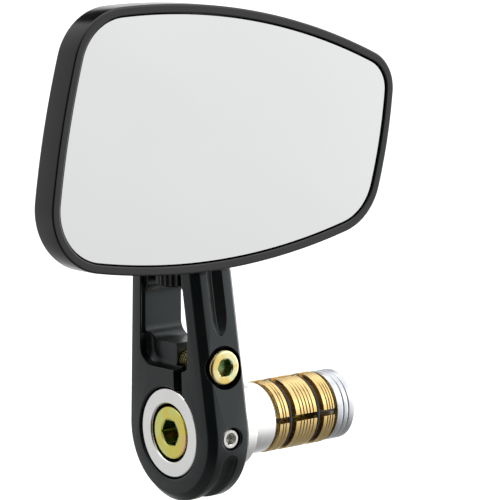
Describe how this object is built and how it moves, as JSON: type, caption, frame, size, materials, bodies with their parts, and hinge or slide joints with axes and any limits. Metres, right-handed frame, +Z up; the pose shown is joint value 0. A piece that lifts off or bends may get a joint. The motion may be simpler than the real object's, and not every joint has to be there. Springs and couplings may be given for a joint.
{
  "type": "bicycle bar-end mirror",
  "caption": "Bar-end bicycle mirror: wedge-shaped head on a ball pivot, clamp arm with a window, bushing and expanding jaws that grip inside the handlebar.",
  "frame": {"origin": "centre of the bushing shoulder that seats on the end of the handlebar, on the bar's axis", "axes": "+X runs into the handlebar, towards the middle of the bike; +Y is forwards, away from the rider; +Z is up along the arm"},
  "size_m": [0.1052, 0.042, 0.1248],
  "materials": {
    "black_anodised": "satin black anodised, machined",
    "head_anodised": "satin black anodised",
    "wheel_anodised": "satin black anodised, fluted",
    "cap_anodised": "satin black anodised",
    "polished_aluminium": "turned and polished",
    "yellow_zinc": "yellow passivated zinc on steel",
    "stainless_steel": "plain stainless steel",
    "zinc_steel": "clear zinc on steel",
    "spring_steel": "oiled spring steel",
    "white_acetal": "moulded acetal",
    "nylon_tip": "natural nylon",
    "jaw_brass": "turned brass",
    "black_rubber": "matt elastic ring",
    "grey_foam": "adhesive foam",
    "mirror_silver": "silvered glass"
  },
  "bodies": {
    "bar_end": {"bushing": "polished_aluminium", "bolt_washer": "zinc_steel", "jaw_ring_1": "black_rubber", "jaw_ring_2": "black_rubber"},
    "bolt": {"centre_bolt": "yellow_zinc"},
    "nut": {"cone_nut": "zinc_steel"},
    "jaw_1": {"expander_jaw_1": "jaw_brass"},
    "jaw_2": {"expander_jaw_2": "jaw_brass"},
    "jaw_3": {"expander_jaw_3": "jaw_brass"},
    "jaw_4": {"expander_jaw_4": "jaw_brass"},
    "arm": {"clamp_arm": "black_anodised", "pivot_cap": "cap_anodised", "disc_spring_1": "spring_steel", "disc_spring_2": "spring_steel"},
    "pinch": {"pinch_screw": "yellow_zinc"},
    "grub": {"set_screw": "stainless_steel", "set_screw_tip": "nylon_tip"},
    "wheel": {"adjuster_wheel": "wheel_anodised"},
    "seats": {"upper_seat": "white_acetal", "lower_seat": "white_acetal"},
    "stud": {"pivot_ball": "stainless_steel", "pivot_stud": "zinc_steel", "stud_lock_nut": "zinc_steel"},
    "head": {"mirror_shell": "head_anodised", "mirror_glass": "mirror_silver", "glass_pad": "grey_foam"}
  },
  "joints": [
    {"name": "arm_swing", "type": "hinge", "parent": "bar_end", "child": "arm", "pos_m": [-0.01305, 0, 0], "axis": [1, 0, 0], "range_deg": [-90, 90]},
    {"name": "head_pan", "type": "hinge", "parent": "arm", "child": "seats", "pos_m": [-0.01305, 0.001, 0.053], "axis": [0, 0, 1], "range_deg": [-9, 9]},
    {"name": "head_tilt", "type": "hinge", "parent": "seats", "child": "stud", "pos_m": [-0.01305, 0.001, 0.053], "axis": [1, 0, 0], "range_deg": [-9, 9]},
    {"name": "head_roll", "type": "hinge", "parent": "stud", "child": "head", "pos_m": [-0.01305, 0.001, 0.053], "axis": [0, 1, 0], "range_deg": [-20, 20]},
    {"name": "wheel_turn", "type": "hinge", "parent": "arm", "child": "wheel", "pos_m": [-0.01305, 0.001, 0.0361], "axis": [0, 0, 1], "range_deg": [-180, 180]},
    {"name": "pinch_turn", "type": "hinge", "parent": "arm", "child": "pinch", "pos_m": [-0.01305, -0.0157, 0.01735], "axis": [0, 1, 0], "range_deg": [-180, 0]},
    {"name": "grub_turn", "type": "hinge", "parent": "arm", "child": "grub", "pos_m": [-0.01305, -0.017, 0], "axis": [0, 1, 0], "range_deg": [-180, 0]},
    {"name": "bolt_turn", "type": "hinge", "parent": "bar_end", "child": "bolt", "pos_m": [-0.0187, 0, 0], "axis": [1, 0, 0], "range_deg": [0, 345.6]},
    {"name": "nut_draw", "type": "slide", "parent": "bar_end", "child": "nut", "axis": [1, 0, 0], "range_m": [-0.00121, 0]},
    {"name": "jaw_1_spread", "type": "slide", "parent": "bar_end", "child": "jaw_1", "axis": [-0.8944, 0.3162, 0.3162], "range_m": [0, 0.00068]},
    {"name": "jaw_2_spread", "type": "slide", "parent": "bar_end", "child": "jaw_2", "axis": [-0.8944, -0.3162, 0.3162], "range_m": [0, 0.00068]},
    {"name": "jaw_3_spread", "type": "slide", "parent": "bar_end", "child": "jaw_3", "axis": [-0.8944, -0.3162, -0.3162], "range_m": [0, 0.00068]},
    {"name": "jaw_4_spread", "type": "slide", "parent": "bar_end", "child": "jaw_4", "axis": [-0.8944, 0.3162, -0.3162], "range_m": [0, 0.00068]}
  ],
  "couplings": [
    {"joint": "nut_draw", "follows": "bolt_turn", "m_per_rad": -0.00019894},
    {"joint": "jaw_1_spread", "follows": "bolt_turn", "m_per_rad": 0.00011121},
    {"joint": "jaw_2_spread", "follows": "bolt_turn", "m_per_rad": 0.00011121},
    {"joint": "jaw_3_spread", "follows": "bolt_turn", "m_per_rad": 0.00011121},
    {"joint": "jaw_4_spread", "follows": "bolt_turn", "m_per_rad": 0.00011121}
  ]
}
